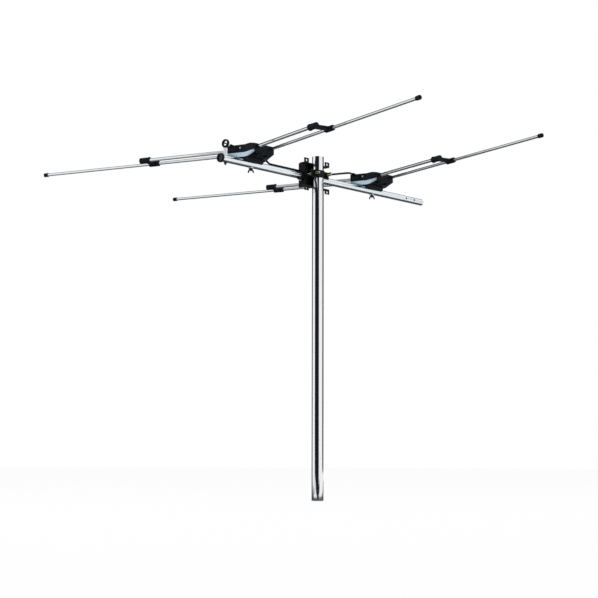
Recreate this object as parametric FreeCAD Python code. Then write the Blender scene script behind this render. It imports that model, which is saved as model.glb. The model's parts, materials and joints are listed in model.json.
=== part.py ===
import FreeCAD, Part
import math
import os

os.makedirs("parts", exist_ok=True)
V = FreeCAD.Vector

# Mast, standing on the origin
MAST_R = 15.9
MAST_WALL = 1.6
MAST_L = 930.0
MAST_ABOVE = 52.0

# Boom, lying along X beside the mast
BOOM_R = 9.5
BOOM_WALL = 1.4
BOOM_Y = 32.0
BOOM_Z = MAST_L - MAST_ABOVE
BOOM_X0 = -343.0
BOOM_X1 = 505.0
REAR_HOLES = (422.0, 460.0)
REAR_HOLE_R = 3.0
DISC_IN = 2.0
DISC_T = 1.5
DISC_HOLE_R = 1.6
CAP_R = 11.9
CAP_LIP = 2.0
CAP_OVER = 4.0

# The two swept elements
ELEMENT_X = {"front": -217.5, "rear": 284.5}
SWEEP = math.radians(15.7)
ELEMENT_H = 37.0
PAIR_GAP = 49.5
TUBE_R = 4.6
TUBE_WALL = 0.8
ROD_R = 4.0
ROD_WALL = 0.7
SPACER_AT = 322.0
ROD_REACH = 692.0
ARM_ROOT = 12.0
SPACER_HALF = 15.0
TUBE_PAST = 12.0
SLEEVE_WALL = 3.4
SLEEVE_RIM = 0.9
SLEEVE_RIM_L = 3.0
SPACER_WEB_L = 14.0
SPACER_WEB_H = 9.0
TIP_WALL = 1.6
TIP_GRIP = 9.0
TIP_PAST = 4.0
TIP_FLOOR = 1.6
TIP_HOLE_R = 2.4
SIDES = {"left": 1.0, "right": -1.0}

# Feed housing levels above the boom axis and half sizes in plan
HALF_Y = 50.0
FRONT_OFF = 36.0
REAR_OFF = 37.0
BASE_LOW = 3.0
BASE_TOP = 28.0
SADDLE_WALL = 2.5
SADDLE_LOW = 4.0
POCKET_OFF = (-22.0, 14.0)
POCKET_Y = 33.0
POCKET_HALF = (8.0, 7.0)
POCKET_TOP = 22.6
PLATE_T = 1.6
PLATE_INSET = 9.0
PLATE_REAR = 3.0
PLATE_PLAY = 0.2
LIP_T = 2.6
LIP_HALF_Y = 46.5
LIP_FLAT = 20.0
LIP_LOW = 17.5
LIP_END = 23.5
KEEL_LOW = 14.5
KEEL_END = 24.5
KEEL_HALF = 14.0
KEEL_REAR = 14.0
COVER_TOP = 50.5
COVER_LEFT = 50.0
COVER_RIGHT = 45.0
COVER_WALL = 2.6
ROOF_FLAT = 12.0
ROOF_BREAK = 26.0
ROOF_DIP = 0.8
ROOF_EDGE = 2.0
BLOCK_TOP = 44.5
BLOCK_PLAY = 0.4
BLOCK_HALF = 34.0
HEAD_ROOM_R = 7.2
BOLT_OFF = -12.5
PANEL_Y = (24.0, 43.0)
PANEL_LOW = 33.5
PANEL_TOP = (45.5, 43.0)
PANEL_RISE = 1.6

# Small hardware
BOX_BOLT_R = 2.5
BOX_HEAD_R = 5.5
BOX_HEAD_H = 3.2
NUT_PLAY = 0.05
NUT_LIFT = 0.15
MAST_PLAY = 0.05
BOSS_R = 6.6
SOCKET_R = 4.7
SOCKET_Z = 40.0
SOCKET_NUT = 2.5
SOCKET_NUT_R = 6.4
SOCKET_L = 10.5
SOCKET_MOUTH_R = 3.2
SOCKET_MOUTH_DEEP = 1.0
SCREW_R = 1.6
SCREW_L = 7.0
SCREW_HEAD_R = 2.9
SCREW_HEAD_H = 1.8
SCREW_Y = 13.0
SCREW_Z = 41.5
GLAND_Y = 40.0
GLAND_Z = 49.5
GLAND_R = 4.6
GLAND_BORE = 3.7
GLAND_OUT = 1.5
GLAND_IN = 12.0
GROMMET_IN = 9.0
BOX_NUT_R = 4.4
BOX_NUT_H = 5.4
BOX_NUT_SPAN = 8.2
BOX_NUT_DROP = 12.0
BOX_NUT_TURN = math.radians(-48.0)
BOLT_PAST = 1.5
WASHER_R = 6.5
WASHER_T = 1.6
WASHER_HUG = 1.2

# Mast clamp
WEB_Y = 17.5
SHEET_T = 2.5
COLLAR_WALL = 2.6
COLLAR_L = 7.5
BOOM_SCREW_R = 2.0
BOOM_SCREW_IN = 3.0
BOOM_SCREW_HEAD = 3.4
BOOM_SCREW_HEAD_H = 2.6
WEB_HALF = 32.0
BRACKET_TOP = 36.0
BRACKET_LOW = -32.5
LIP_UP = 32.5
LIP_HALF = 51.3
EAR_Y = 2.75
EAR_W = 18.0
EAR_H = 12.0
EAR_HOLE_R = 3.2
EAR_HOLE_Z = (38.0, -39.0)
FLANGE_PAST = 0.6
DIMPLE_Z = (26.0, -21.0)
DIMPLE_R = 6.2
DIMPLE_RISE = 1.2
RECESS_R = 2.6
RECESS_DEEP = 1.6
JAW_Z = 3.0
JAW_HALF_H = 10.0
JAW_HALF_X = 36.0
JAW_EAR_Y = -6.0
CLAMP_BOLT_X = 24.0
CLAMP_BOLT_R = 3.0
CLAMP_BOLT_OUT = 27.0
CLAMP_HEAD_R = 5.2
CLAMP_HEAD_H = 1.6
CLAMP_NUT_R = 5.0
CLAMP_NUT_H = 6.2
CLAMP_NUT_SPAN = 11.6
CLAMP_NUT_DROP = 13.0
CLAMP_NUT_TURN = math.radians(52.0)

# Phasing cable between the housings
CABLE_R = 2.75
CABLE_PLAY = 0.4
CABLE_OUT_Z = 19.5
CABLE_IN = 7.0
CABLE_LIFT = 14.0
CABLE_RADII = (16.0, 16.0, 60.0, 130.0)
GROMMET_R = 5.0
GROMMET_RIM_R = 6.2
GROMMET_RIM_T = 2.0

# Oval cable ring on its post
RING_X = -324.5
RING_SCREW_R = 2.2
POST_R = 5.0
POST_TOP = 28.2
RING_HALF_Y = 11.4
RING_HALF_Z = 11.0
RING_WALL = 3.8
RING_T = 6.6
RING_BAR = 2.8
RING_TILT = 25.0
HUB_WALL = 0.6
HUB_H = 4.5
RING_SINK = 1.0
SCREW_IN = 3.4
STUB_L = 7.0

# Levels and places that follow from these
PLATE_TOP = BASE_TOP + PLATE_T
WEB_BACK = WEB_Y + SHEET_T
SCREW_X = -WEB_HALF - COLLAR_L / 2
CABLE_Z = BOOM_R + CABLE_R
CABLE_LIFT_X = WEB_HALF + CABLE_LIFT

TAN = math.tan(SWEEP)
EX = V(1, 0, 0)
EY = V(0, 1, 0)
EZ = V(0, 0, 1)


def save(name, shape):
    solids = shape.Solids
    if len(solids) != 1 or not shape.isValid():
        print("CHECK", name, len(solids), shape.isValid())
    solids[0].exportStep("parts/" + name + ".step")


def cyl(radius, start, end):
    axis = end - start
    return Part.makeCylinder(radius, axis.Length, start, axis)


def pipe(outer, inner, start, end):
    return cyl(outer, start, end).cut(cyl(inner, start, end))


def cone(r0, r1, start, end):
    axis = end - start
    return Part.makeCone(r0, r1, axis.Length, start, axis)


def block(x0, x1, y0, y1, z0, z1):
    return Part.makeBox(x1 - x0, y1 - y0, z1 - z0, V(x0, y0, z0))


def prism(points, push):
    wire = Part.makePolygon(points + [points[0]])
    return Part.Face(wire).extrude(push)


def on_boom(x, z=0.0, y=0.0):
    return V(x, BOOM_Y + y, BOOM_Z + z)


# A point of a swept element: off is along the boom, y along the element
def swept(end, off, y, z):
    return on_boom(ELEMENT_X[end] + off - abs(y) * TAN, z, y)


def chevron(end, front, rear, half_y, z0, z1):
    pts = [
        swept(end, -front, 0, z0), swept(end, -front, half_y, z0), swept(end, rear, half_y, z0),
        swept(end, rear, 0, z0), swept(end, rear, -half_y, z0), swept(end, -front, -half_y, z0),
    ]
    return prism(pts, V(0, 0, z1 - z0))


# A profile of (y, z) points pushed along the boom through a whole housing
def across(end, profile):
    reach = FRONT_OFF + REAR_OFF + HALF_Y
    start = ELEMENT_X[end] - reach
    return prism([on_boom(start, z, y) for y, z in profile], EX * (2 * reach))


# A point at a run along one arm's tube, measured from the boom's plane
def along(end, side, off, run, z=ELEMENT_H):
    return swept(end, off, SIDES[side] * run * math.cos(SWEEP), z)


# The way into a housing through its front wall, square to the wall
def way_in(side):
    return V(math.cos(SWEEP), SIDES[side] * math.sin(SWEEP), 0)


# Where a cover screw enters its wall and the way it points: left in front, right at the back
def screw_spot(end, side):
    if side == "left":
        return swept(end, -FRONT_OFF, SCREW_Y, SCREW_Z), way_in(side)
    return swept(end, REAR_OFF, -SCREW_Y, SCREW_Z), way_in(side) * -1.0


# An upright oval plate across the boom
def oval(half_y, half_z, thick, centre):
    curve = Part.Ellipse(V(0, 0, 0), max(half_y, half_z), min(half_y, half_z))
    shape = Part.Face(Part.Wire(curve.toShape())).extrude(EZ * thick)
    if half_y > half_z:
        shape.rotate(V(0, 0, 0), EZ, 90)
    shape.rotate(V(0, 0, 0), EY, -90)
    shape.translate(centre + EX * (thick / 2))
    return shape


def wing_nut(seat, axis, wing, bolt_r, hub_r, hub_h, span, drop):
    hub = cone(hub_r, hub_r * 0.74, seat, seat + axis * hub_h)
    shape = hub
    for sign in (1, -1):
        out = wing * sign
        flat = [(0.3, 1.0), (hub_r * 0.9, 1.2), (span * 0.72, 2.6), (span, drop * 0.62), (span * 0.96, drop),
                (span * 0.66, drop * 0.96), (hub_r * 0.7, hub_h * 0.86), (0.3, hub_h * 0.86)]
        thick = axis.cross(wing).normalize()
        pts = [seat + out * a + axis * b - thick * 1.1 for a, b in flat]
        shape = shape.fuse(prism(pts, thick * 2.2))
    shape = shape.cut(cyl(bolt_r + NUT_PLAY, seat - axis, seat + axis * (drop + 2)))
    return shape.removeSplitter()


# Mast tube, open at both ends
save("mast", pipe(MAST_R, MAST_R - MAST_WALL, V(0, 0, 0), V(0, 0, MAST_L)))

# Boom with its cross holes and a pressed disc that closes its front end
boom = pipe(BOOM_R, BOOM_R - BOOM_WALL, on_boom(BOOM_X0), on_boom(BOOM_X1))
disc_x = BOOM_X0 + DISC_IN
disc = pipe(BOOM_R - BOOM_WALL / 2, DISC_HOLE_R, on_boom(disc_x), on_boom(disc_x + DISC_T))
boom = boom.fuse(disc).removeSplitter()
for end in ELEMENT_X:
    bolt_x = ELEMENT_X[end] + BOLT_OFF
    boom = boom.cut(cyl(BOX_BOLT_R, on_boom(bolt_x, -15), on_boom(bolt_x, 15)))
boom = boom.cut(cyl(RING_SCREW_R, on_boom(RING_X, -15), on_boom(RING_X, 15)))
for x in REAR_HOLES:
    boom = boom.cut(cyl(REAR_HOLE_R, on_boom(x, 0, -15), on_boom(x, 0, 15)))
boom = boom.cut(cyl(BOOM_SCREW_R, on_boom(SCREW_X, -15), on_boom(SCREW_X, 0)))
save("boom", boom)

# Open ring cap pushed over the boom's front end
cap = cyl(CAP_R, on_boom(BOOM_X0 - CAP_LIP), on_boom(BOOM_X0 + CAP_OVER))
cap = cap.cut(cyl(BOOM_R, on_boom(BOOM_X0), on_boom(BOOM_X0 + CAP_OVER + 1)))
cap = cap.cut(cyl(BOOM_R - BOOM_WALL, on_boom(BOOM_X0 - CAP_LIP - 1), on_boom(BOOM_X0 + 1)))
save("boom_cap", cap)

# Cable route: out of the front base, along the boom's top, up into the rear cover's gland
cable_x0 = ELEMENT_X["front"] + REAR_OFF - CABLE_IN
gland = swept("rear", -FRONT_OFF, GLAND_Y, GLAND_Z)
gland_way = way_in("left")


# A path through points, its corners rounded by arcs
def rounded_path(points, radii):
    edges = []
    start = points[0]
    for before, corner, after, radius in zip(points, points[1:], points[2:], radii):
        back = (before - corner).normalize()
        ahead = (after - corner).normalize()
        half = back.getAngle(ahead) / 2
        middle = corner + (back + ahead).normalize() * (radius / math.sin(half) - radius)
        first = corner + back * (radius / math.tan(half))
        last = corner + ahead * (radius / math.tan(half))
        edges = edges + [Part.makeLine(start, first), Part.Arc(first, middle, last).toShape()]
        start = last
    return edges + [Part.makeLine(start, points[-1])]


route = [
    on_boom(cable_x0, CABLE_OUT_Z), on_boom(cable_x0 + 16.0, CABLE_OUT_Z), on_boom(cable_x0 + 28.0, CABLE_Z),
    on_boom(CABLE_LIFT_X, CABLE_Z), gland - gland_way * 28.0, gland + gland_way * 8.0,
]
ring = Part.Wire(Part.makeCircle(CABLE_R, route[0], EX))
save("phasing_cable", Part.Wire(rounded_path(route, CABLE_RADII)).makePipeShell([ring], True, True))

# Feed housings with everything they carry
for end, x_e in ELEMENT_X.items():
    bolt_x = x_e + BOLT_OFF

    # Keel-shaped base that saddles the boom, with a rim round the plate's seat
    body = chevron(end, FRONT_OFF - LIP_T, REAR_OFF, HALF_Y, BASE_LOW, PLATE_TOP)
    seat_rear = REAR_OFF - PLATE_REAR
    seat_half = HALF_Y - PLATE_INSET
    seat_room = chevron(end, FRONT_OFF + 5, seat_rear, seat_half, BASE_TOP, PLATE_TOP)
    wide = HALF_Y + 4.0
    saddle = BOOM_R + SADDLE_WALL
    hull_end = KEEL_LOW + (KEEL_END - KEEL_LOW) * (wide - KEEL_HALF) / (HALF_Y - KEEL_HALF)
    keel = [(-wide, PLATE_TOP), (wide, PLATE_TOP), (wide, hull_end), (KEEL_HALF, KEEL_LOW),
            (saddle, SADDLE_LOW), (-saddle, SADDLE_LOW), (-KEEL_HALF, KEEL_LOW), (-wide, hull_end)]
    body = body.common(across(end, keel)).cut(seat_room)
    body = body.cut(block(x_e + REAR_OFF - KEEL_REAR, x_e + REAR_OFF + wide, BOOM_Y - wide, BOOM_Y + wide,
                          BOOM_Z, BOOM_Z + KEEL_LOW))
    body = body.cut(cyl(BOOM_R, on_boom(x_e - FRONT_OFF - wide), on_boom(x_e + REAR_OFF + wide)))
    for sign in (1, -1):
        for off in POCKET_OFF:
            low = swept(end, off, sign * POCKET_Y, 0) - V(*POCKET_HALF, 0)
            body = body.cut(Part.makeBox(2 * POCKET_HALF[0], 2 * POCKET_HALF[1], POCKET_TOP, low))
    body = body.cut(cyl(BOX_BOLT_R, on_boom(bolt_x), on_boom(bolt_x, 40)))
    if end == "front":
        body = body.fuse(cyl(BOSS_R, on_boom(cable_x0, CABLE_OUT_Z), on_boom(x_e + REAR_OFF, CABLE_OUT_Z)))
        body = body.cut(cyl(GROMMET_R, on_boom(cable_x0, CABLE_OUT_Z), on_boom(x_e + 60, CABLE_OUT_Z)))
    save(end + "_base", body.removeSplitter())

    # Bent metal plate in the base's seat, its leaf-shaped lip in front of the base
    plate = chevron(end, FRONT_OFF, seat_rear - PLATE_PLAY, seat_half - PLATE_PLAY, BASE_TOP, PLATE_TOP)
    lip = chevron(end, FRONT_OFF, -(FRONT_OFF - LIP_T), LIP_HALF_Y, LIP_LOW, PLATE_TOP)
    leaf_half = LIP_HALF_Y + 1.0
    leaf = [(-leaf_half, PLATE_TOP), (leaf_half, PLATE_TOP), (leaf_half, LIP_END), (LIP_FLAT, LIP_LOW),
            (-LIP_FLAT, LIP_LOW), (-leaf_half, LIP_END)]
    plate = plate.fuse(lip.common(across(end, leaf))).removeSplitter()
    plate = plate.cut(cyl(BOX_BOLT_R, on_boom(bolt_x, 20), on_boom(bolt_x, 40)))
    save(end + "_plate", plate)

    # Terminal block that grips the inner ends of the four tubes
    block_front = FRONT_OFF - COVER_WALL - BLOCK_PLAY
    block_rear = REAR_OFF - COVER_WALL - BLOCK_PLAY
    term = chevron(end, block_front, block_rear, BLOCK_HALF, PLATE_TOP, BLOCK_TOP)
    term = term.cut(cyl(HEAD_ROOM_R, on_boom(bolt_x, 20), on_boom(bolt_x, 60)))
    for side in SIDES:
        for off, radius in ((-PAIR_GAP / 2, TUBE_R), (PAIR_GAP / 2, ROD_R)):
            term = term.cut(cyl(radius, along(end, side, off, ARM_ROOT), along(end, side, off, wide)))
        spot, inward = screw_spot(end, side)
        term = term.cut(cyl(SCREW_R, spot, spot + inward * (SCREW_L + 2)))
    save(end + "_block", term.removeSplitter())

    # Hollow cover: its roof falls toward the right arm and carries a gland on the left
    roof_half = HALF_Y - ROOF_EDGE
    roof = [(-wide, 0), (wide, 0), (wide, COVER_LEFT - ROOF_EDGE), (roof_half, COVER_LEFT),
            (ROOF_FLAT, COVER_TOP), (-ROOF_FLAT, COVER_TOP), (-ROOF_BREAK, COVER_TOP - ROOF_DIP),
            (-roof_half, COVER_RIGHT), (-wide, COVER_RIGHT - ROOF_EDGE)]
    cover = chevron(end, FRONT_OFF, REAR_OFF, HALF_Y, PLATE_TOP, COVER_TOP + 2)
    cover = cover.common(across(end, roof))
    inner_front = FRONT_OFF - COVER_WALL
    inner_rear = REAR_OFF - COVER_WALL
    room = chevron(end, inner_front, inner_rear, HALF_Y - COVER_WALL, PLATE_TOP, COVER_TOP)
    inner = [(y, z - COVER_WALL if z > 0 else z) for y, z in roof]
    cover = cover.cut(room.common(across(end, inner)))
    for side in SIDES:
        sign = SIDES[side]
        for off, radius in ((-PAIR_GAP / 2, TUBE_R), (PAIR_GAP / 2, ROD_R)):
            hole_end = along(end, side, off, HALF_Y + 22)
            cover = cover.cut(cyl(radius, along(end, side, off, HALF_Y - 8), hole_end))
        # Raised panel on each front wall
        panel = [swept(end, -FRONT_OFF + 1, sign * y, 0) for y in PANEL_Y]
        pts = [p + EZ * PANEL_LOW for p in panel]
        pts += [panel[1] + EZ * PANEL_TOP[1], panel[0] + EZ * PANEL_TOP[0]]
        cover = cover.fuse(prism(pts, EX * (-1 - PANEL_RISE)))
    mouth = swept(end, -FRONT_OFF, GLAND_Y, GLAND_Z)
    cover = cover.fuse(cyl(GLAND_R, mouth - gland_way * GLAND_OUT, mouth + gland_way * GLAND_IN))
    for side in SIDES:
        spot, inward = screw_spot(end, side)
        cover = cover.cut(cyl(SCREW_R, spot - inward * 4.0, spot + inward * 6.0))
    if end == "rear":
        wall_out = on_boom(x_e + REAR_OFF, SOCKET_Z)
        wall_in = wall_out - EX * COVER_WALL
        cover = cover.cut(cyl(GLAND_BORE, mouth - gland_way * 6, mouth + gland_way * (GLAND_IN + 1)))
        cover = cover.fuse(cyl(BOSS_R, wall_in, wall_out))
        cover = cover.cut(cyl(SOCKET_R, wall_in, wall_out + EX * 6))
    save(end + "_cover", cover.removeSplitter())
    for side in SIDES:
        spot, inward = screw_spot(end, side)
        screw = cyl(SCREW_R, spot, spot + inward * SCREW_L)
        screw = screw.fuse(cyl(SCREW_HEAD_R, spot - inward * SCREW_HEAD_H, spot))
        save(end + "_cover_screw_" + side, screw.removeSplitter())

    # Bolt down through plate, base and boom, its washer and wing nut
    nut_z = -BOOM_R - WASHER_T - NUT_LIFT
    bolt = cyl(BOX_BOLT_R, on_boom(bolt_x, nut_z - BOX_NUT_H - BOLT_PAST), on_boom(bolt_x, PLATE_TOP))
    bolt = bolt.fuse(cyl(BOX_HEAD_R, on_boom(bolt_x, PLATE_TOP), on_boom(bolt_x, PLATE_TOP + BOX_HEAD_H)))
    save(end + "_bolt", bolt.removeSplitter())
    washer_low = on_boom(bolt_x, -BOOM_R - WASHER_T)
    washer = cyl(WASHER_R, washer_low, on_boom(bolt_x, WASHER_HUG - BOOM_R))
    washer = washer.cut(cyl(BOX_BOLT_R, on_boom(bolt_x, -20), on_boom(bolt_x)))
    washer = washer.cut(cyl(BOOM_R, on_boom(bolt_x - 20), on_boom(bolt_x + 20)))
    save(end + "_washer", washer)
    wing = V(math.cos(BOX_NUT_TURN), math.sin(BOX_NUT_TURN), 0)
    nut = wing_nut(on_boom(bolt_x, nut_z), EZ * -1, wing, BOX_BOLT_R, BOX_NUT_R, BOX_NUT_H,
                   BOX_NUT_SPAN, BOX_NUT_DROP)
    save(end + "_wing_nut", nut)

    # Tubes, rods, spacers and tips of both arms
    for side in SIDES:
        front_off = -PAIR_GAP / 2
        rear_off = PAIR_GAP / 2
        front_at = SPACER_AT - PAIR_GAP * math.sin(SWEEP) / 2
        rear_at = SPACER_AT + PAIR_GAP * math.sin(SWEEP) / 2
        save(end + "_tube_" + side, pipe(TUBE_R, TUBE_R - TUBE_WALL, along(end, side, front_off, ARM_ROOT),
                                         along(end, side, front_off, front_at + TUBE_PAST)))
        save(end + "_rod_" + side, pipe(ROD_R, ROD_R - ROD_WALL, along(end, side, rear_off, ARM_ROOT),
                                        along(end, side, rear_off, ROD_REACH)))
        a0 = along(end, side, front_off, front_at - SPACER_HALF)
        a1 = along(end, side, front_off, front_at + SPACER_HALF)
        b0 = along(end, side, rear_off, rear_at - SPACER_HALF)
        b1 = along(end, side, rear_off, rear_at + SPACER_HALF)
        axis = (a1 - a0).normalize()
        sleeve_r = TUBE_R + SLEEVE_WALL
        spacer = cyl(sleeve_r, a0, a1).fuse(cyl(sleeve_r + SLEEVE_RIM, a0, a0 + axis * SLEEVE_RIM_L))
        spacer = spacer.fuse(cyl(ROD_R + SLEEVE_WALL, b0, b1))
        web0 = SPACER_HALF - SPACER_WEB_L / 2
        web1 = SPACER_HALF + SPACER_WEB_L / 2
        web = [a0 + axis * web0, a0 + axis * web1, b0 + axis * web1, b0 + axis * web0]
        web = [p - EZ * (SPACER_WEB_H / 2) for p in web]
        spacer = spacer.fuse(prism(web, EZ * SPACER_WEB_H))
        spacer = spacer.cut(cyl(TUBE_R, a0 - axis, a0 + axis * (SPACER_HALF + TUBE_PAST)))
        spacer = spacer.cut(cyl(ROD_R, b0 - axis, b1 + axis))
        save(end + "_spacer_" + side, spacer.removeSplitter())
        tip0 = along(end, side, rear_off, ROD_REACH)
        tip = cyl(ROD_R + TIP_WALL, tip0 - axis * TIP_GRIP, tip0 + axis * TIP_PAST)
        tip = tip.cut(cyl(ROD_R, tip0 - axis * (TIP_GRIP + 1), tip0))
        tip = tip.cut(cyl(TIP_HOLE_R, tip0 + axis * TIP_FLOOR, tip0 + axis * (TIP_PAST + 1)))
        save(end + "_tip_" + side, tip)

# Grommets where the cable enters the housings
mouth = on_boom(cable_x0, CABLE_OUT_Z)
wall = on_boom(ELEMENT_X["front"] + REAR_OFF, CABLE_OUT_Z)
grommet = cyl(GROMMET_R, mouth, wall)
grommet = grommet.fuse(cyl(GROMMET_RIM_R, wall, wall + EX * GROMMET_RIM_T))
grommet = grommet.cut(cyl(CABLE_R, mouth - EX, mouth + EX * 20))
save("front_grommet", grommet.removeSplitter())
collar = gland - gland_way * GLAND_OUT
grommet = cyl(GLAND_BORE, collar, gland + gland_way * GROMMET_IN)
grommet = grommet.fuse(cyl(GLAND_R, collar - gland_way * GROMMET_RIM_T, collar))
grommet = grommet.cut(cyl(CABLE_R, collar - gland_way * 5, gland + gland_way * 12))
save("rear_grommet", grommet.removeSplitter())

# Threaded coaxial socket in the rear cover's back wall
wall = on_boom(ELEMENT_X["rear"] + REAR_OFF, SOCKET_Z)
socket = cyl(SOCKET_R, wall - EX * COVER_WALL, wall)
turns = [math.radians(60 * k) for k in range(6)]
nut = [wall + (EY * math.cos(a) + EZ * math.sin(a)) * SOCKET_NUT_R for a in turns]
socket = socket.fuse(prism(nut, EX * SOCKET_NUT))
thread_end = wall + EX * (SOCKET_NUT + SOCKET_L)
socket = socket.fuse(cyl(SOCKET_R, wall + EX * SOCKET_NUT, thread_end))
socket = socket.cut(cyl(SOCKET_MOUTH_R, thread_end - EX * SOCKET_MOUTH_DEEP, thread_end + EX))
save("output_socket", socket.removeSplitter())

# Pressed bracket: a web beside the mast, two flanges round the boom, two lips round the mast
z0 = BOOM_Z + BRACKET_LOW
z1 = BOOM_Z + BRACKET_TOP
flange_back = BOOM_Y + BOOM_R + FLANGE_PAST
bracket = block(-WEB_HALF, WEB_HALF, WEB_Y, WEB_BACK, z0, z1)
for sign in (1, -1):
    inner_x = sign * (WEB_HALF - SHEET_T)
    outer_x = sign * WEB_HALF
    lo, hi = min(inner_x, outer_x), max(inner_x, outer_x)
    bracket = bracket.fuse(block(lo, hi, WEB_Y, flange_back, z0, z1))
    bracket = bracket.fuse(cyl(BOOM_R + COLLAR_WALL, on_boom(outer_x), on_boom(outer_x + sign * COLLAR_L)))
    for z in DIMPLE_Z:
        face_x = outer_x + sign * DIMPLE_RISE
        bracket = bracket.fuse(cyl(DIMPLE_R, on_boom(outer_x, z), on_boom(face_x, z)))
        floor_x = face_x - sign * RECESS_DEEP
        bracket = bracket.cut(cyl(RECESS_R, on_boom(floor_x, z), on_boom(face_x + sign, z)))
for up, hole_z in zip((1, -1), EAR_HOLE_Z):
    lip_z = BOOM_Z + (LIP_UP - SHEET_T if up == 1 else BRACKET_LOW)
    ear_z = lip_z if up == 1 else lip_z - EAR_H
    bracket = bracket.fuse(block(-LIP_HALF, LIP_HALF, EAR_Y, WEB_BACK, lip_z, lip_z + SHEET_T))
    for sign in (1, -1):
        ex0, ex1 = sorted((sign * (LIP_HALF - EAR_W), sign * LIP_HALF))
        ear = block(ex0, ex1, EAR_Y, EAR_Y + SHEET_T, ear_z, ear_z + EAR_H + SHEET_T)
        mid = V((ex0 + ex1) / 2, EAR_Y, BOOM_Z + hole_z)
        bracket = bracket.fuse(ear.cut(cyl(EAR_HOLE_R, mid - EY, mid + EY * 5)))
for sign in (1, -1):
    x0, x1 = sorted((sign * (WEB_HALF - 5), sign * (WEB_HALF + COLLAR_L + 1)))
    bracket = bracket.cut(cyl(BOOM_R, on_boom(x0), on_boom(x1)))
    bracket = bracket.cut(cyl(CABLE_R + CABLE_PLAY, on_boom(x0, CABLE_Z), on_boom(x1, CABLE_Z)))
    hole = V(sign * CLAMP_BOLT_X, 0, BOOM_Z + JAW_Z)
    bracket = bracket.cut(cyl(CLAMP_BOLT_R, hole + EY * 10, hole + EY * 30))
bracket = bracket.cut(cyl(MAST_R + MAST_PLAY, V(0, 0, z0 - 20), V(0, 0, z1 + 20)))
bracket = bracket.cut(cyl(BOOM_SCREW_R, on_boom(SCREW_X, -20), on_boom(SCREW_X, 0)))
save("bracket", bracket.removeSplitter())

# Screw that pins the boom in the bracket's front collar
collar_r = BOOM_R + COLLAR_WALL
head_seat = on_boom(SCREW_X, -collar_r)
screw = cyl(BOOM_SCREW_R, head_seat, on_boom(SCREW_X, BOOM_SCREW_IN - BOOM_R))
screw = screw.fuse(cyl(BOOM_SCREW_HEAD, head_seat - EZ * BOOM_SCREW_HEAD_H, head_seat))
save("boom_screw", screw.removeSplitter())

# Jaw bent round the front of the mast, with its two bolts and wing nuts
jz0 = BOOM_Z + JAW_Z - JAW_HALF_H
jz1 = BOOM_Z + JAW_Z + JAW_HALF_H
ear_front = JAW_EAR_Y - SHEET_T
arch = cyl(MAST_R + MAST_PLAY + SHEET_T, V(0, 0, jz0), V(0, 0, jz1))
arch = arch.common(block(-40, 40, -40, JAW_EAR_Y, jz0, jz1))
jaw = arch.fuse(block(-JAW_HALF_X, JAW_HALF_X, ear_front, JAW_EAR_Y, jz0, jz1))
jaw = jaw.cut(cyl(MAST_R + MAST_PLAY, V(0, 0, jz0 - 5), V(0, 0, jz1 + 5)))
for sign in (1, -1):
    hole = V(sign * CLAMP_BOLT_X, 0, BOOM_Z + JAW_Z)
    jaw = jaw.cut(cyl(CLAMP_BOLT_R, hole - EY * 20, hole + EY * 5))
save("clamp_jaw", jaw.removeSplitter())
for side, sign in (("front", -1), ("rear", 1)):
    foot = V(sign * CLAMP_BOLT_X, 0, BOOM_Z + JAW_Z)
    bolt = cyl(CLAMP_BOLT_R, foot - EY * CLAMP_BOLT_OUT, foot + EY * WEB_BACK)
    bolt = bolt.fuse(cyl(CLAMP_HEAD_R, foot + EY * WEB_BACK, foot + EY * (WEB_BACK + CLAMP_HEAD_H)))
    save("clamp_bolt_" + side, bolt.removeSplitter())
    wing = V(math.cos(CLAMP_NUT_TURN) * sign, 0, math.sin(CLAMP_NUT_TURN))
    nut = wing_nut(foot + EY * (ear_front - NUT_LIFT), EY * -1, wing, CLAMP_BOLT_R, CLAMP_NUT_R, CLAMP_NUT_H,
                   CLAMP_NUT_SPAN, CLAMP_NUT_DROP)
    save("clamp_nut_" + side, nut)

# Oval cable ring on its post at the front of the boom
post = cyl(POST_R, on_boom(RING_X, BOOM_R - 2.0), on_boom(RING_X, POST_TOP))
post = post.cut(cyl(BOOM_R, on_boom(RING_X - 20), on_boom(RING_X + 20)))
post = post.cut(cyl(RING_SCREW_R, on_boom(RING_X), on_boom(RING_X, POST_TOP + 5)))
save("ring_post", post)
hub = on_boom(RING_X, POST_TOP + RING_SINK + RING_HALF_Z)
loop = oval(RING_HALF_Y, RING_HALF_Z, RING_T, hub)
loop = loop.cut(oval(RING_HALF_Y - RING_WALL, RING_HALF_Z - RING_WALL, RING_T + 2, hub))
reach = RING_HALF_Y - RING_WALL / 2
bar = block(-RING_T / 2, RING_T / 2, -reach, reach, -RING_BAR / 2, RING_BAR / 2)
bar.rotate(V(0, 0, 0), EX, RING_TILT)
bar.translate(hub)
loop = loop.fuse(bar)
loop = loop.fuse(cyl(POST_R + HUB_WALL, on_boom(RING_X, POST_TOP), on_boom(RING_X, POST_TOP + HUB_H)))
screw_top = on_boom(RING_X, POST_TOP + SCREW_IN)
loop = loop.cut(cyl(RING_SCREW_R, on_boom(RING_X, POST_TOP - 1), screw_top))
save("cable_ring", loop.removeSplitter())
save("ring_screw", cyl(RING_SCREW_R, on_boom(RING_X, -BOOM_R - STUB_L), screw_top))
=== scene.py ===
"""Looks for a mast-mounted FM antenna: finishes, soft edges, cut threads, studio and camera."""

import bmesh
import bpy
import json
import math
from mathutils import Matrix, Vector


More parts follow.
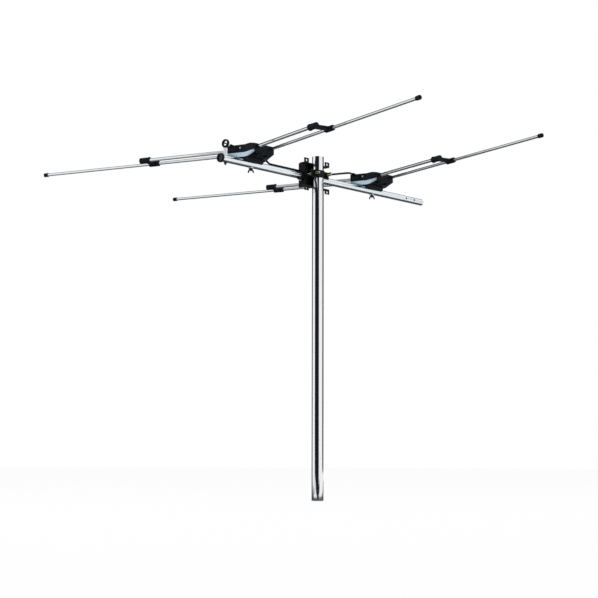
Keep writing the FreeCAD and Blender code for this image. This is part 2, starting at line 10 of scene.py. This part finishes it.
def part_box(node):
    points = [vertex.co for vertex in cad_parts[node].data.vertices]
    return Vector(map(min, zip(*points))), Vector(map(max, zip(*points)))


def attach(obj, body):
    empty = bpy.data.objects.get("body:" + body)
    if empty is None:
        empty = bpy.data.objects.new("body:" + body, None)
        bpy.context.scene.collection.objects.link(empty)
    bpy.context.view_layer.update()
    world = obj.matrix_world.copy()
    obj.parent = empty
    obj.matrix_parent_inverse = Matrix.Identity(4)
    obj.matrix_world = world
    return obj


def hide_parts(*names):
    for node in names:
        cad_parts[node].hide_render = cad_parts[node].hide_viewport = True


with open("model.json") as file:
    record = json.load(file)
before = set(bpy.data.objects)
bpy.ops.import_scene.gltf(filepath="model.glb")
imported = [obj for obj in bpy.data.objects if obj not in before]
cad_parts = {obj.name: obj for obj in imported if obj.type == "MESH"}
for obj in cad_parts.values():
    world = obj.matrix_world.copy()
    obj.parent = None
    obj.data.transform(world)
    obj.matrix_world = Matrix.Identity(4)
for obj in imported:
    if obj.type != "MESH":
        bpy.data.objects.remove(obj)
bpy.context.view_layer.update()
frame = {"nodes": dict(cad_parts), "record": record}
NODES = frame["nodes"]
SLOT_OF = {part["node"]: part["material_slot"] for part in frame["record"]["subparts"]}
SCENE = bpy.context.scene
SWEEP = math.radians(15.7)
SIDES = {"left": 1, "right": -1}
ENDS = ("front", "rear")
UP = Vector((0, 0, 1))
DOWN = Vector((0, 0, -1))
TO_JAW = Vector((0, -1, 0))
BOOM_LOW, BOOM_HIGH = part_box("boom")
BOOM_Y = (BOOM_LOW.y + BOOM_HIGH.y) / 2
BOOM_Z = (BOOM_LOW.z + BOOM_HIGH.z) / 2
BOOM_R = (BOOM_HIGH.z - BOOM_LOW.z) / 2

# Colours, in linear values: the darker and the lighter end of each finish
MAST_STEEL = ((0.78, 0.79, 0.81), (0.92, 0.93, 0.95))
BOOM_SKIN = ((0.74, 0.81, 0.86), (0.86, 0.92, 0.96))
TUBE_SKIN = ((0.74, 0.76, 0.79), (0.90, 0.92, 0.94))
PLATE_SKIN = ((0.43, 0.57, 0.67), (0.58, 0.71, 0.81))
PLASTIC = ((0.003, 0.0042, 0.0065), (0.0065, 0.009, 0.013))
COATING = ((0.002, 0.0025, 0.003), (0.005, 0.0057, 0.0065))
JACKET = COATING
ZINC = ((0.55, 0.57, 0.60), (0.78, 0.80, 0.82))
YELLOW_ZINC = ((0.34, 0.31, 0.20), (0.52, 0.49, 0.36))
NICKEL = ((0.66, 0.62, 0.54), (0.80, 0.77, 0.69))
PLASTIC_WORN = (0.025, 0.03, 0.035)
COATING_WORN = (0.04, 0.04, 0.042)
# Painted shade inside the boom's bore, dark where shade falls in the hole
BORE_PAINTED_SHADE = (0.10, 0.11, 0.12)

# Roughness: the least and the most of each finish
MIRROR = (0.04, 0.09)
SATIN = (0.13, 0.21)
BRIGHT = (0.18, 0.28)
ROLLED = (0.30, 0.40)
TURNED = (0.4, 0.5)
MOULDED = (0.36, 0.48)
RUBBER = (0.45, 0.6)
COATED = (0.32, 0.44)
ZINC_PLATE = (0.22, 0.36)
YELLOW_PLATE = (0.2, 0.34)
NICKEL_PLATE = (0.2, 0.32)

# Single values of the finishes
BORE_ROUGH = 0.55
POST_METAL = 0.4
BLACK_SPECULAR = 0.09
SMEAR_SHARE = 0.15
RUB_SHARE = 0.7
NOISE_DETAIL = 3.0
LINE_DETAIL = 4.0
PEEL_DETAIL = 2.0
NOISE_LOW = 0.3
NOISE_HIGH = 0.7

# Sizes of the marks in each finish and of the painted shade inside the boom's bore, in metres
FINE = 0.0007
LONG = 0.4
SHORT = 0.2
SHEET = 0.1
LATHE = 0.01
SMEAR = (0.05, 0.05, 0.05)
GRAIN = (0.00035, 0.00035, 0.00035)
FLOW = (0.018, 0.018, 0.03)
PLASTIC_RUB = (0.004, 0.004, 0.004)
PEEL = (0.0012, 0.0012, 0.0012)
PATCH = (0.012, 0.012, 0.012)
COATING_RUB = (0.003, 0.003, 0.003)
CLOUD = (0.006, 0.006, 0.006)
JACKET_LINES = (0.03, FINE, FINE)
DUST = (0.009, 0.009, 0.009)
ZINC_CELL = 0.0011
YELLOW_CELL = 0.0014
NICKEL_CELL = 0.0012
BORE_IN = 0.0007
BORE_BLEND = 0.0001

# Bump of each finish: depth in metres, and strength
LINE_BUMP = (0.00002, 0.25)
GRAIN_BUMP = (0.00003, 0.35)
PEEL_BUMP = (0.00005, 0.3)
CLOUD_BUMP = (0.00003, 0.2)
JACKET_BUMP = (0.00004, 0.3)

# How far the pointiness goes from flats to rubbed edges
PLASTIC_EDGE = (0.52, 0.60)
COATING_EDGE = (0.51, 0.58)

# Edge radius of each kind of piece, in metres
EDGES = {
    "cover": 0.0011, "base": 0.0009, "block": 0.0005, "plate": 0.0004, "bracket": 0.0006, "clamp_jaw": 0.0006,
    "wing_nut": 0.0007, "clamp_nut": 0.0007, "spacer": 0.0007, "tip": 0.0009, "boom_cap": 0.0006,
    "cable_ring": 0.0009, "grommet": 0.0005, "washer": 0.0003, "ring_post": 0.0003, "boom": 0.0002,
    "mast": 0.0003, "tube": 0.00015, "rod": 0.00015,
}
OTHER_EDGE = 0.0003

# Settings of the modifiers that soften edges
EDGE_STEPS = 3
EDGE_ANGLE = math.radians(32)
FLAT_ANGLE = math.radians(0.3)
WELD_GAP = 0.000002
FLAT_WEIGHT = 80

# Fasteners, in metres, and the turn of the ring's nut in degrees
COVER_SCREW = {"head_r": 0.0029, "head_h": 0.0018, "shank_r": 0.0016}
BOOM_SCREW = {"head_r": 0.0034, "head_h": 0.0026, "shank_r": 0.002}
BOX_BOLT_R = 0.0025
BOX_BOLT_PITCH = 0.0008
BOX_BOLT_THREAD = 0.02
BOX_HEAD_R = 0.0055
BOX_HEAD_H = 0.0032
CLAMP_BOLT_R = 0.003
CLAMP_BOLT_PITCH = 0.001
CLAMP_BOLT_PLAIN = 0.012
CLAMP_HEAD_H = 0.0016
CLAMP_HEAD = [(0.0, 0.0022), (0.0004, 0.0044), (0.0009, 0.0052), (CLAMP_HEAD_H, 0.0052)]
RING_SCREW_R = 0.0022
RING_SCREW_PITCH = 0.0007
RING_SCREW_THREAD = 0.012
RING_NUT = [(0.0, 0.0038), (0.0005, 0.0042), (0.0029, 0.0042), (0.0034, 0.0038)]
RING_NUT_TURN = 8
THREAD_STEP = 0.0001

# Shares of a fastener's own sizes
DOME = ((0.0, 0.55), (0.12, 0.78), (0.38, 0.95), (0.75, 1.0), (1.0, 1.0))
RECESS_REACH = 0.58
RECESS_DEPTH = 0.55
RECESS_WIDTH = 0.42
RECESS_TAPER = 0.55
THREAD_DEPTH = 0.42
THREAD_FLANK = 2.4
THREAD_END = 1.4
THREAD_CHAMFER = 0.9

# Counts and the crease angle of the fasteners' meshes
THREAD_RINGS = 7
THREAD_LEAST = 8
ROUND = 32
CREASE_ANGLE = math.radians(38)

# Studio, in metres and linear values
FLOOR_HALF = 60.0
FLOOR_Z = -0.0005
FLOOR_COLOUR = (0.93, 0.93, 0.93, 1.0)
FLOOR_ROUGH = 0.9
FLOOR_WHITE = 0.95
SKY_LIGHT = 0.5
WHITE = (1.0, 1.0, 1.0, 1.0)
ON_FLOOR = 0.002
CARD_BLACK = (0.012, 0.013, 0.018)
CARD_EDGE = (0.012, 0.012, 0.012)
CARD_COAL = (0.03, 0.032, 0.034)
CARD_SLATE = (0.08, 0.083, 0.086)
CARD_GROUND = (0.08, 0.086, 0.09)
CARD_GREY = (0.30, 0.31, 0.32)
CARD_CEILING = (0.33, 0.34, 0.35)
CARD_PALE = (0.40, 0.41, 0.42)
LAMP_AIM = Vector((0.05, 0.03, 0.8))
COOL = (0.95, 0.98, 1.0)

# Camera, from the fitted view
CAMERA_AT = (-2.9302, -2.5670, 0.0934)
CAMERA_YAW = math.radians(48.037)
CAMERA_PITCH = math.radians(6.550)
CAMERA_ROLL = math.radians(0.158)
LENS = 87.56
SENSOR = 36.0
AHEAD = Vector((math.sin(CAMERA_YAW), math.cos(CAMERA_YAW), 0.0))
ASIDE = Vector((math.cos(CAMERA_YAW), -math.sin(CAMERA_YAW), 0.0))


class Tree:
    """The node tree of a material or a world, with short calls for the nodes used here."""

    def __init__(self, owner):
        owner.use_nodes = True
        self.owner = owner
        self.nodes = owner.node_tree.nodes
        self.links = owner.node_tree.links

    def put(self, socket, value):
        if isinstance(value, bpy.types.NodeSocket):
            self.links.new(value, socket)
        else:
            socket.default_value = value

    def add(self, kind, inputs, **settings):
        made = self.nodes.new("ShaderNode" + kind)
        for key, value in settings.items():
            setattr(made, key, value)
        for key, value in inputs.items():
            self.put(made.inputs[key], value)
        return made

    def where(self):
        return self.add("TexCoord", {}).outputs["Object"]

    def place(self, size, turn=0.0):
        """Row-frame coordinates in units of size, with X turned by an angle about Z."""
        inputs = {"Vector": self.where(), "Rotation": (0, 0, turn), "Scale": size}
        return self.add("Mapping", inputs, vector_type="TEXTURE").outputs["Vector"]

    def noise(self, size, turn=0.0, detail=NOISE_DETAIL):
        inputs = {"Vector": self.place(size, turn), "Scale": 1.0, "Detail": detail}
        return self.add("TexNoise", inputs).outputs["Fac"]

    def cells(self, size):
        inputs = {"Vector": self.place((size, size, size)), "Scale": 1.0}
        return self.add("TexVoronoi", inputs).outputs["Color"]

    def from_axis(self, y, z):
        """Distance from a line along X."""
        off = self.add("VectorMath", {0: self.where(), 1: (0, y, z)}, operation="SUBTRACT").outputs["Vector"]
        flat = self.add("VectorMath", {0: off, 1: (0, 1, 1)}, operation="MULTIPLY").outputs["Vector"]
        return self.add("VectorMath", {0: flat}, operation="LENGTH").outputs["Value"]

    def spread(self, value, low, high, start=NOISE_LOW, stop=NOISE_HIGH):
        inputs = {"Value": value, "From Min": start, "From Max": stop, "To Min": low, "To Max": high}
        return self.add("MapRange", inputs).outputs["Result"]

    def mix(self, share, first, second):
        made = self.add("Mix", {}, data_type="RGBA")
        self.put(made.inputs["Factor"], share)
        for socket, colour in ((made.inputs[6], first), (made.inputs[7], second)):
            self.put(socket, (*colour, 1.0) if isinstance(colour, tuple) else colour)
        return made.outputs[2]

    def math(self, operation, first, second):
        return self.add("Math", {0: first, 1: second}, operation=operation).outputs[0]

    def edges(self, start, stop):
        """How sharply the surface turns outward, from 0 on flats to 1 on edges."""
        sharp = self.add("NewGeometry", {}).outputs["Pointiness"]
        return self.spread(sharp, 0.0, 1.0, start, stop)

    def bump(self, height, depth, strength):
        inputs = {"Height": height, "Distance": depth, "Strength": strength}
        self.put(self.nodes["Principled BSDF"].inputs["Normal"], self.add("Bump", inputs).outputs["Normal"])

    def finish(self, colour, rough, **flat):
        sockets = self.nodes["Principled BSDF"].inputs
        self.put(sockets["Base Color"], colour)
        self.put(sockets["Roughness"], rough)
        for key, value in flat.items():
            sockets[key.replace("_", " ")].default_value = value
        return self.owner

    def glow(self, colour):
        return self.add("Emission", {"Color": colour, "Strength": 1.0}).outputs[0]

    def show(self, shader):
        self.put(self.nodes["Material Output"].inputs["Surface"], shader)


def material_tree(name):
    return Tree(bpy.data.materials.new(name))


def drawn_metal(name, skin, rough, size, turn=0.0, bore_r=None, metal=1.0):
    """Metal with fine lines along its length and faint smears, and painted shade inside the boom's bore where
    it has one.
    """
    t = material_tree(name)
    lines = t.noise(size, turn, LINE_DETAIL)
    smear = t.noise(SMEAR)
    colour = t.mix(t.spread(lines, 0.0, 1.0), *skin)
    colour = t.mix(t.spread(smear, 0.0, SMEAR_SHARE), colour, skin[0])
    worn = t.spread(smear, *rough)
    if bore_r is not None:
        # Painted shade: inside the bore the colour goes dark and the surface rougher
        painted_bore_shade = t.spread(t.from_axis(BOOM_Y, BOOM_Z), 1.0, 0.0, bore_r - BORE_BLEND, bore_r)
        colour = t.mix(painted_bore_shade, colour, BORE_PAINTED_SHADE)
        worn = t.spread(painted_bore_shade, worn, BORE_ROUGH, 0.0, 1.0)
    t.bump(lines, *LINE_BUMP)
    return t.finish(colour, worn, Metallic=metal)


def moulded(name, skin, worn, rough):
    """Black moulded plastic: fine grain, faint flow marks and rubbed edges."""
    t = material_tree(name)
    flow = t.noise(FLOW)
    colour = t.mix(t.spread(flow, 0.0, 1.0), *skin)
    rub = t.math("MULTIPLY", t.edges(*PLASTIC_EDGE), t.spread(t.noise(PLASTIC_RUB), 0.0, RUB_SHARE))
    t.bump(t.noise(GRAIN), *GRAIN_BUMP)
    return t.finish(t.mix(rub, colour, worn), t.spread(flow, *rough), Specular_IOR_Level=BLACK_SPECULAR)


def coated_steel(name, skin, worn, rough):
    """Black coating with slight orange peel, thin on edges so that the metal greys through."""
    t = material_tree(name)
    patch = t.noise(PATCH)
    colour = t.mix(t.spread(patch, 0.0, 1.0), *skin)
    rub = t.math("MULTIPLY", t.edges(*COATING_EDGE), t.spread(t.noise(COATING_RUB), 0.0, 1.0))
    t.bump(t.noise(PEEL, detail=PEEL_DETAIL), *PEEL_BUMP)
    return t.finish(t.mix(rub, colour, worn), t.spread(patch, *rough), Specular_IOR_Level=BLACK_SPECULAR)


def plated(name, skin, rough, cell):
    """Plated metal with a fine crystalline mottle."""
    t = material_tree(name)
    cloud = t.noise(CLOUD)
    colour = t.mix(t.spread(t.cells(cell), 0.0, 1.0, 0.0, 1.0), *skin)
    t.bump(cloud, *CLOUD_BUMP)
    return t.finish(colour, t.spread(cloud, *rough), Metallic=1.0)


def jacket(name, skin, rough):
    """Extruded cable jacket with fine lines along it."""
    t = material_tree(name)
    dust = t.noise(DUST)
    t.bump(t.noise(JACKET_LINES), *JACKET_BUMP)
    colour = t.mix(t.spread(dust, 0.0, 1.0), *skin)
    return t.finish(colour, t.spread(dust, *rough), Specular_IOR_Level=BLACK_SPECULAR)


FINISHES = {
    "polished_steel": drawn_metal("polished_steel", MAST_STEEL, MIRROR, (FINE, FINE, LONG)),
    "boom_aluminium": drawn_metal("boom_aluminium", BOOM_SKIN, SATIN, (LONG, FINE, FINE),
                                  bore_r=BOOM_R - BORE_IN),
    "bright_aluminium": drawn_metal("bright_aluminium", TUBE_SKIN, BRIGHT, (FINE, FINE, SHORT)),
    "black_plastic": moulded("black_plastic", PLASTIC, PLASTIC_WORN, MOULDED),
    "black_rubber": jacket("black_rubber", JACKET, RUBBER),
    "black_steel": coated_steel("black_steel", COATING, COATING_WORN, COATED),
    "zinc_steel": plated("zinc_steel", ZINC, ZINC_PLATE, ZINC_CELL),
    "yellow_zinc": plated("yellow_zinc", YELLOW_ZINC, YELLOW_PLATE, YELLOW_CELL),
    "plated_brass": plated("plated_brass", NICKEL, NICKEL_PLATE, NICKEL_CELL),
}
PLATE_FINISH = drawn_metal("rolled_plate", PLATE_SKIN, ROLLED, (SHEET, SHEET, FINE))
POST_FINISH = drawn_metal("turned_post", MAST_STEEL, TURNED, (LATHE, LATHE, FINE), metal=POST_METAL)
ARM_FINISH = {}
for side, sign in SIDES.items():
    heading = math.atan2(sign * math.cos(SWEEP), -math.sin(SWEEP))
    ARM_FINISH[side] = drawn_metal("drawn_" + side, TUBE_SKIN, MIRROR, (LONG, FINE, FINE), heading)


def edge_of(name):
    """The edge radius of the longest kind that the name holds."""
    hits = [kind for kind in EDGES if kind in name]
    return EDGES[max(hits, key=len)] if hits else OTHER_EDGE


def soften(obj, width):
    """Rounds an object's sharp edges and shades the flats flat."""
    mesh = obj.data
    mesh.polygons.foreach_set("use_smooth", [True] * len(mesh.polygons))
    if "custom_normal" in mesh.attributes:
        mesh.attributes.remove(mesh.attributes["custom_normal"])
    weld = obj.modifiers.new("weld", "WELD")
    weld.merge_threshold = WELD_GAP
    flat = obj.modifiers.new("flat", "DECIMATE")
    flat.decimate_type = "DISSOLVE"
    flat.angle_limit = FLAT_ANGLE
    edge = obj.modifiers.new("edge", "BEVEL")
    edge.width = width
    edge.segments = EDGE_STEPS
    edge.limit_method = "ANGLE"
    edge.angle_limit = EDGE_ANGLE
    edge.use_clamp_overlap = False
    obj.modifiers.new("normals", "WEIGHTED_NORMAL").weight = FLAT_WEIGHT


def finish_of(name):
    """The finish of a node: its slot's, unless the piece has one of its own."""
    if "_tube_" in name or "_rod_" in name:
        return ARM_FINISH[name.rsplit("_", 1)[-1]]
    if name.endswith("_plate"):
        return PLATE_FINISH
    if name == "ring_post":
        return POST_FINISH
    return FINISHES[SLOT_OF[name]]


for name, obj in NODES.items():
    obj.data.materials.clear()
    obj.data.materials.append(finish_of(name))
    soften(obj, edge_of(name))


# Cut threads and driven heads, which take the place of plain fasteners
def frame_along(axis):
    """A rotation that takes +Z to the axis."""
    return axis.to_track_quat("Z", "Y").to_matrix().to_4x4()


def span(node, axis):
    """(foot, length): where a node starts along an axis, on its own centre line, and how long it is."""
    low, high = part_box(node)
    middle = (low + high) / 2
    runs = [(v.co - middle).dot(axis) for v in NODES[node].data.vertices]
    return middle + axis * min(runs), max(runs) - min(runs)


def rings_to_mesh(name, rings):
    """A surface through rings of points, capped at both ends."""
    bm = bmesh.new()
    rows = [[bm.verts.new(p) for p in ring] for ring in rings]
    count = len(rows[0])
    for low, high in zip(rows, rows[1:]):
        for i in range(count):
            j = (i + 1) % count
            bm.faces.new((low[i], low[j], high[j], high[i]))
    bm.faces.new(list(reversed(rows[0])))
    bm.faces.new(rows[-1])
    mesh = bpy.data.meshes.new(name)
    bm.to_mesh(mesh)
    bm.free()
    return mesh


def ring_at(height, radius_of):
    turns = [2 * math.pi * i / ROUND for i in range(ROUND)]
    return [Vector((radius_of(a) * math.cos(a), radius_of(a) * math.sin(a), height)) for a in turns]


def lathe_rings(profile):
    return [ring_at(h, lambda a, r=r: r) for h, r in profile]


def hex_ring(height, across):
    turns = [math.radians(60 * k + RING_NUT_TURN) for k in range(6)]
    return [Vector((across * math.cos(a), across * math.sin(a), height)) for a in turns]


def thread_rings(start, stop, crest, pitch):
    """A rolled thread with a chamfered end."""
    depth = pitch * THREAD_DEPTH
    steps = max(THREAD_LEAST, round((stop - start) / pitch * THREAD_RINGS))
    rings = []
    for k in range(steps + 1):
        h = start + (stop - start) * k / steps
        limit = crest - max(0.0, h - (stop - depth * THREAD_END)) * THREAD_CHAMFER

        def radius(a, h=h, limit=limit):
            phase = (h / pitch - a / (2 * math.pi)) % 1.0
            ridge = min(1.0, THREAD_FLANK * min(phase, 1.0 - phase))
            return min(limit, crest - depth * (1.0 - ridge))

        rings.append(ring_at(h, radius))
    return rings


def stand_in(node, mesh, at, axis):
    """A detailed mesh, built along +Z, in place of a plain node."""
    obj = bpy.data.objects.new(node + "_detail", mesh)
    SCENE.collection.objects.link(obj)
    mesh.polygons.foreach_set("use_smooth", [True] * len(mesh.polygons))
    mesh.materials.append(FINISHES[SLOT_OF[node]])
    mesh.transform(Matrix.Translation(at) @ frame_along(axis))
    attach(obj, "antenna")
    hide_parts(node)
    obj.modifiers.new("crease", "EDGE_SPLIT").split_angle = CREASE_ANGLE


def cross_recess(mesh, top, reach, deep):
    """Cuts a cross-shaped drive recess down into the top of a head."""
    cutter = bmesh.new()
    for turn in (0.0, math.pi / 2):
        blade = bmesh.ops.create_cube(cutter, size=1.0)["verts"]
        for v in blade:
            taper = 1.0 if v.co.z > 0 else RECESS_TAPER
            length = v.co.x * 2 * reach * taper
            width = v.co.y * reach * RECESS_WIDTH * taper
            v.co = Vector((length, width, top + v.co.z * 2 * deep))
            v.co.rotate(Matrix.Rotation(turn, 3, "Z"))
    tool_mesh = bpy.data.meshes.new("recess_tool")
    cutter.to_mesh(tool_mesh)
    cutter.free()
    tool = bpy.data.objects.new("recess_tool", tool_mesh)
    work = bpy.data.objects.new("recess_work", mesh)
    for o in (tool, work):
        SCENE.collection.objects.link(o)
    cut = work.modifiers.new("cut", "BOOLEAN")
    cut.object = tool
    cut.operation = "DIFFERENCE"
    cut.use_self = True
    done = bpy.data.meshes.new_from_object(work.evaluated_get(bpy.context.evaluated_depsgraph_get()))
    for o in (tool, work):
        bpy.data.objects.remove(o)
    return done


def pan_head_screw(node, axis, head_r, head_h, shank_r):
    """A screw driven along the axis, with a domed head and a cross recess."""
    at, length = span(node, axis)
    profile = [(head_h * h, head_r * r) for h, r in DOME] + [(head_h, shank_r), (length, shank_r)]
    rings = lathe_rings([(length - h, r) for h, r in reversed(profile)])
    mesh = rings_to_mesh(node + "_detail", rings)
    mesh = cross_recess(mesh, length, head_r * RECESS_REACH, head_h * RECESS_DEPTH)
    stand_in(node, mesh, at + axis * length, -axis)


for end in ENDS:
    for side, sign in SIDES.items():
        inward = Vector((math.cos(SWEEP) * sign, math.sin(SWEEP), 0.0))
        pan_head_screw(end + "_cover_screw_" + side, inward, **COVER_SCREW)
    # Box bolt: head inside the cover, thread from the boom down
    foot, length = span(end + "_bolt", DOWN)
    thread_from = length - BOX_BOLT_THREAD
    rings = lathe_rings([(0.0, BOX_HEAD_R), (BOX_HEAD_H, BOX_HEAD_R), (BOX_HEAD_H, BOX_BOLT_R),
                         (thread_from, BOX_BOLT_R)])
    rings += thread_rings(thread_from + THREAD_STEP, length, BOX_BOLT_R, BOX_BOLT_PITCH)
    stand_in(end + "_bolt", rings_to_mesh(end + "_bolt_detail", rings), foot, DOWN)
    # Clamp bolt: flat domed head behind the web, thread toward the jaw
    foot, length = span("clamp_bolt_" + end, TO_JAW)
    rings = lathe_rings(CLAMP_HEAD + [(CLAMP_HEAD_H, CLAMP_BOLT_R), (CLAMP_BOLT_PLAIN, CLAMP_BOLT_R)])
    rings += thread_rings(CLAMP_BOLT_PLAIN + THREAD_STEP, length, CLAMP_BOLT_R, CLAMP_BOLT_PITCH)
    stand_in("clamp_bolt_" + end, rings_to_mesh("clamp_bolt_detail", rings), foot, TO_JAW)
pan_head_screw("boom_screw", UP, **BOOM_SCREW)

# Ring screw: only its cut end shows, under the boom
foot, length = span("ring_screw", DOWN)
thread_from = length - RING_SCREW_THREAD
rings = lathe_rings([(0.0, RING_SCREW_R), (thread_from, RING_SCREW_R)])
rings += thread_rings(thread_from + THREAD_STEP, length, RING_SCREW_R, RING_SCREW_PITCH)
stand_in("ring_screw", rings_to_mesh("ring_screw_detail", rings), foot, DOWN)

# Nut on the ring screw, drawn up to the boom's underside
nut_mesh = rings_to_mesh("ring_nut", [hex_ring(h, r) for h, r in RING_NUT])
nut_mesh.materials.append(FINISHES["black_steel"])
nut_mesh.transform(Matrix.Translation((foot.x, foot.y, BOOM_LOW.z)) @ frame_along(DOWN))
nut = bpy.data.objects.new("ring_nut", nut_mesh)
SCENE.collection.objects.link(nut)
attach(nut, "antenna")


# Studio: pale floor, white surround, soft lamps, and dark or grey cards that only reflections see
def seen_white(tree, share):
    """A share of white for the camera and for reflections, and none for all other light."""
    ray = tree.add("LightPath", {}).outputs
    either = tree.math("MAXIMUM", ray["Is Camera Ray"], ray["Is Glossy Ray"])
    any_of = tree.math("MAXIMUM", either, ray["Is Transmission Ray"])
    return tree.math("MULTIPLY", any_of, share)


def one_face(name, corners, look):
    mesh = bpy.data.meshes.new(name)
    mesh.from_pydata(corners, [], [(0, 1, 2, 3)])
    mesh.materials.append(look)
    return bpy.data.objects.new(name, mesh)


def flat_corners(xs, ys, z):
    return [(xs[0], ys[0], z), (xs[1], ys[0], z), (xs[1], ys[1], z), (xs[0], ys[1], z)]


def make_floor():
    t = material_tree("floor")
    t.finish(FLOOR_COLOUR, FLOOR_ROUGH, Specular_IOR_Level=0.0)
    white = t.glow(WHITE)
    pale = t.nodes["Principled BSDF"].outputs[0]
    both = t.add("MixShader", {0: seen_white(t, FLOOR_WHITE), 1: pale, 2: white})
    t.show(both.outputs[0])
    reach = (-FLOOR_HALF, FLOOR_HALF)
    return one_face("floor", flat_corners(reach, reach, FLOOR_Z), t.owner)


def make_card(name, corners, shade):
    """A card that only reflections see."""
    t = material_tree(name)
    t.show(t.glow((*shade, 1.0)))
    card = one_face(name, corners, t.owner)
    card.visible_camera = False
    card.visible_diffuse = False
    card.visible_shadow = False
    card.visible_transmission = False
    return card


def round_card(name, bearings, far, top, shade):
    """A standing card between two bearings from the mast, in degrees right of the camera's side."""
    turns = [math.radians(b) for b in bearings]
    first, last = [(ASIDE * math.sin(a) - AHEAD * math.cos(a)) * far for a in turns]
    return make_card(name, [first, last, last + UP * top, first + UP * top], shade)


def flat_card(name, xs, ys, z, shade):
    return make_card(name, flat_corners(xs, ys, z), shade)


def back_card(name, xs, y, zs, shade):
    corners = [(xs[0], y, zs[0]), (xs[1], y, zs[0]), (xs[1], y, zs[1]), (xs[0], y, zs[1])]
    return make_card(name, corners, shade)


def end_card(name, x, ys, zs, shade):
    corners = [(x, ys[0], zs[0]), (x, ys[1], zs[0]), (x, ys[1], zs[1]), (x, ys[0], zs[1])]
    return make_card(name, corners, shade)


stage = [
    make_floor(),
    round_card("card_camera", bearings=(-57, 23), far=6.0, top=6.0, shade=CARD_BLACK),
    round_card("card_right", bearings=(102, 165), far=20.0, top=5.3, shade=CARD_EDGE),
    flat_card("card_low", xs=(-0.4, 5.0), ys=(-0.5, 5.0), z=ON_FLOOR, shade=CARD_GROUND),
    flat_card("card_near", xs=(-4.5, -0.3), ys=(-4.0, -0.3), z=ON_FLOOR, shade=CARD_BLACK),
    flat_card("card_over", xs=(-2.5, 3.2), ys=(1.0, 3.2), z=4.0, shade=CARD_CEILING),
    end_card("card_high", x=6.0, ys=(-0.3, 2.4), zs=(3.6, 9.0), shade=CARD_PALE),
    end_card("card_far", x=6.0, ys=(2.4, 6.8), zs=(0.4, 6.5), shade=CARD_GREY),
    flat_card("card_left", xs=(-1.7, -0.4), ys=(0.3, 5.0), z=ON_FLOOR, shade=CARD_GREY),
    back_card("card_back", xs=(-1.35, 0.6), y=4.0, zs=(ON_FLOOR, 6.0), shade=CARD_SLATE),
    back_card("card_behind", xs=(0.6, 4.6), y=4.0, zs=(ON_FLOOR, 6.0), shade=CARD_COAL),
]
for obj in stage:
    SCENE.collection.objects.link(obj)

SCENE.world = bpy.data.worlds.new("surround")
sky = Tree(SCENE.world)
back = sky.nodes["Background"]
back.inputs["Color"].default_value = WHITE
level = sky.add("Mix", {0: seen_white(sky, 1.0), 2: SKY_LIGHT, 3: 1.0}, data_type="FLOAT")
sky.put(back.inputs["Strength"], level.outputs[0])


def soft_lamp(name, at, side, power, tint=WHITE[:3]):
    """A square lamp that faces the antenna and that reflections don't see."""
    lamp = bpy.data.lights.new(name, "AREA")
    lamp.shape = "RECTANGLE"
    lamp.size = side
    lamp.size_y = side
    lamp.energy = power
    lamp.color = tint
    obj = bpy.data.objects.new(name, lamp)
    obj.location = at
    obj.visible_glossy = False
    obj.rotation_euler = (LAMP_AIM - Vector(at)).to_track_quat("-Z", "Y").to_euler()
    SCENE.collection.objects.link(obj)


soft_lamp("key", at=(-3.2, 0.9, 3.4), side=2.2, power=95.0)
soft_lamp("fill", at=(1.2, -3.6, 2.2), side=2.4, power=55.0, tint=COOL)

# Camera, at the photograph's angle
look = AHEAD * math.cos(CAMERA_PITCH) + UP * math.sin(CAMERA_PITCH)
level_up = ASIDE.cross(look)
right = ASIDE * math.cos(CAMERA_ROLL) + level_up * math.sin(CAMERA_ROLL)
above = right.cross(look)
camera = bpy.data.objects.new("camera", bpy.data.cameras.new("camera"))
camera.data.lens = LENS
camera.data.sensor_width = SENSOR
camera.matrix_world = Matrix((
    (right.x, above.x, -look.x, CAMERA_AT[0]),
    (right.y, above.y, -look.y, CAMERA_AT[1]),
    (right.z, above.z, -look.z, CAMERA_AT[2]),
    (0, 0, 0, 1),
))
SCENE.collection.objects.link(camera)
SCENE.camera = camera
SCENE.view_settings.view_transform = "Standard"
